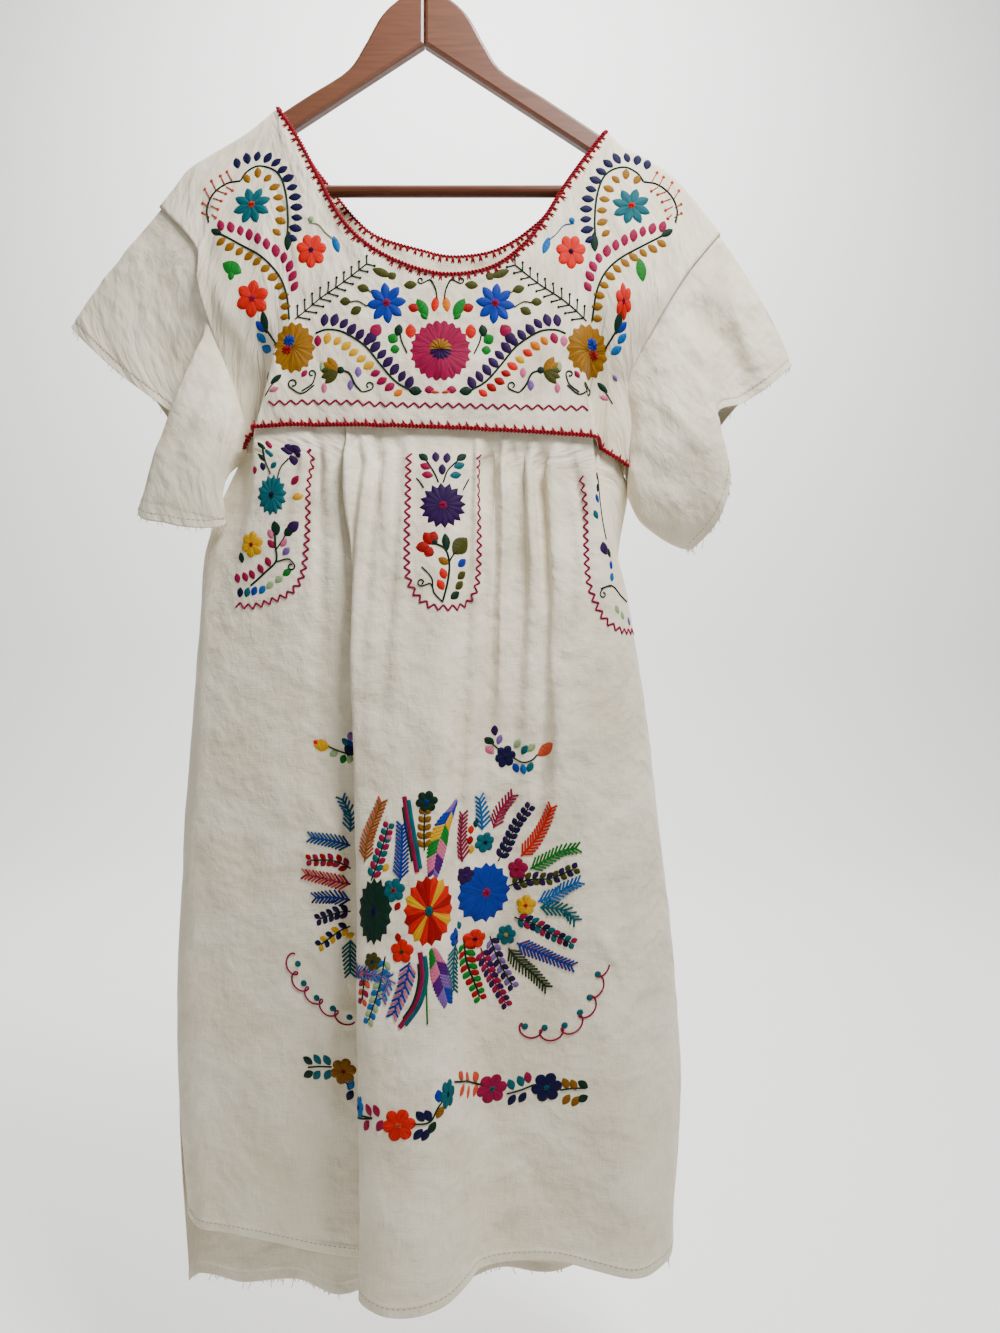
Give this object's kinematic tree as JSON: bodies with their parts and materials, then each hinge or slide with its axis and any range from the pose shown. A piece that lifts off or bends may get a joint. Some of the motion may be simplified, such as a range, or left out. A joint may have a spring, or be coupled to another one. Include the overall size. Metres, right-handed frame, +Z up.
{
  "type": "embroidered mexican peasant dress on a wooden hanger",
  "caption": "Short-sleeved cotton peasant dress with embroidered yoke and skirt, hanging on a wooden hanger with a trouser bar.",
  "frame": {"origin": "top of the inner curve of the hanger's hook, where it hangs on its rail", "axes": "+Z up, +X to the right of someone facing the dress's front, the front faces -Y"},
  "size_m": [0.678, 0.1817, 1.2969],
  "materials": {
    "muslin": "off-white cotton muslin, plain weave, soft and slightly crinkled",
    "crochet_cord": "twisted red cotton crochet thread",
    "embroidery_thread": "stranded cotton embroidery thread in many colours, satin stitch",
    "stained_wood": "reddish-brown stain under satin lacquer",
    "hook_wire": "bright plated steel wire"
  },
  "bodies": {
    "root": {"yoke_front": "muslin", "yoke_back": "muslin", "skirt_front": "muslin", "skirt_back": "muslin", "sleeve_left": "muslin", "sleeve_right": "muslin", "neck_edging": "crochet_cord", "yoke_edging_front": "crochet_cord", "yoke_edging_back": "crochet_cord", "hanger_arm_left": "stained_wood", "hanger_arm_right": "stained_wood", "hanger_bar": "stained_wood", "hanger_hook": "hook_wire"}
  },
  "joints": []
}
